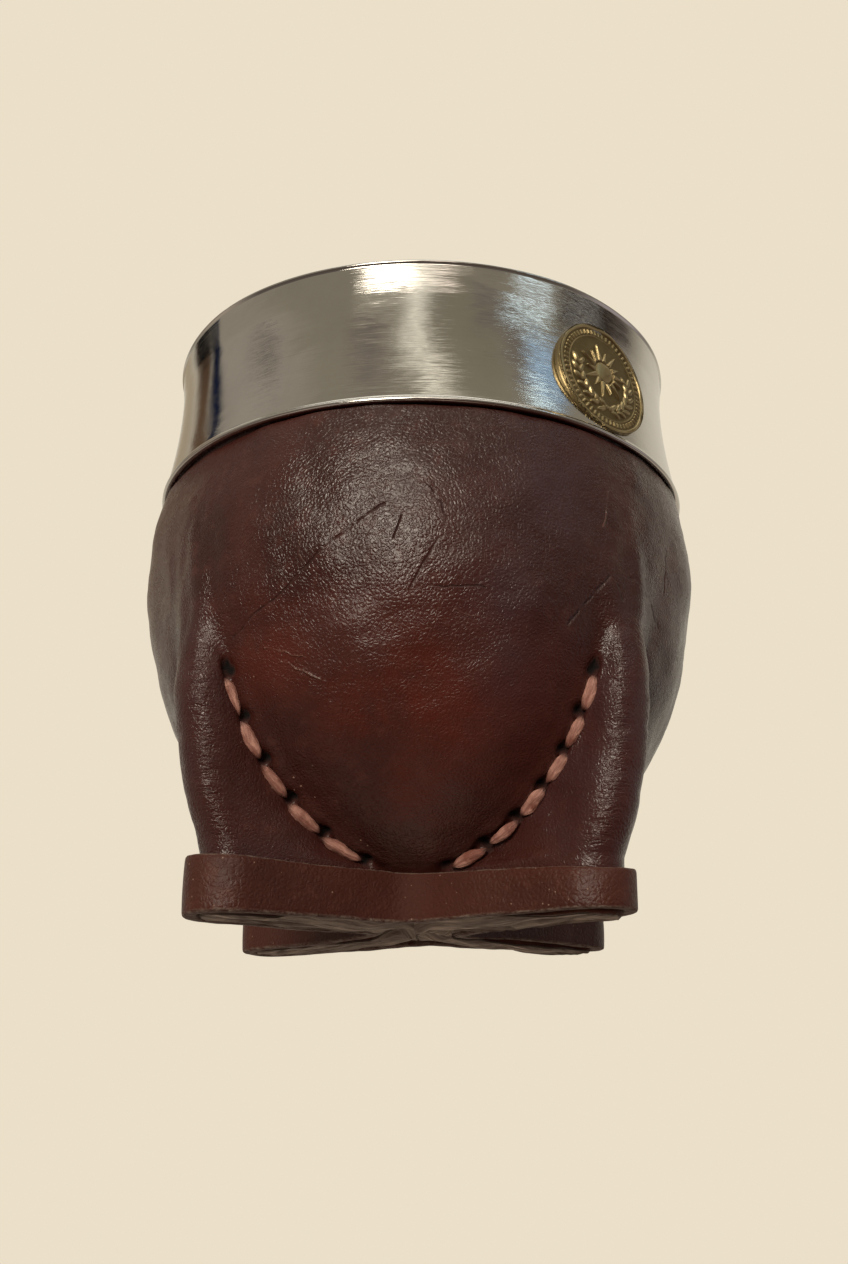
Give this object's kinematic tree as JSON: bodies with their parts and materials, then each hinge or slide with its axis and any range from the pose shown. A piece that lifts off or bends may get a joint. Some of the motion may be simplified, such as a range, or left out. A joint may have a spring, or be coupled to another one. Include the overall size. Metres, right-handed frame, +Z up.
{
  "type": "mate gourd cup",
  "caption": "Round gourd cup in a laced leather cover whose pleats are strapped into a foot, with a polished metal rim band and a small brass medal.",
  "frame": {"origin": "centre of the foot, on the surface that it stands on", "axes": "+Z up along the cup's axis, -Y towards the front, the pleats on the diagonals"},
  "size_m": [0.0948, 0.0948, 0.1],
  "materials": {
    "gourd": "dry, matt calabash shell",
    "leather": "dark burgundy, waxed, semi-gloss",
    "strap": "dark brown, waxed, semi-gloss",
    "lace": "undyed pinkish tan, twisted",
    "steel": "polished, with a fine brush round the band",
    "brass": "aged, dark in the hollows"
  },
  "bodies": {
    "root": {"gourd": "gourd", "leather_cover": "leather", "base_strap": "strap", "rim_band": "steel", "medal": "brass", "lace_front_left": "lace", "lace_front_right": "lace", "lace_back_left": "lace", "lace_back_right": "lace"}
  },
  "joints": []
}
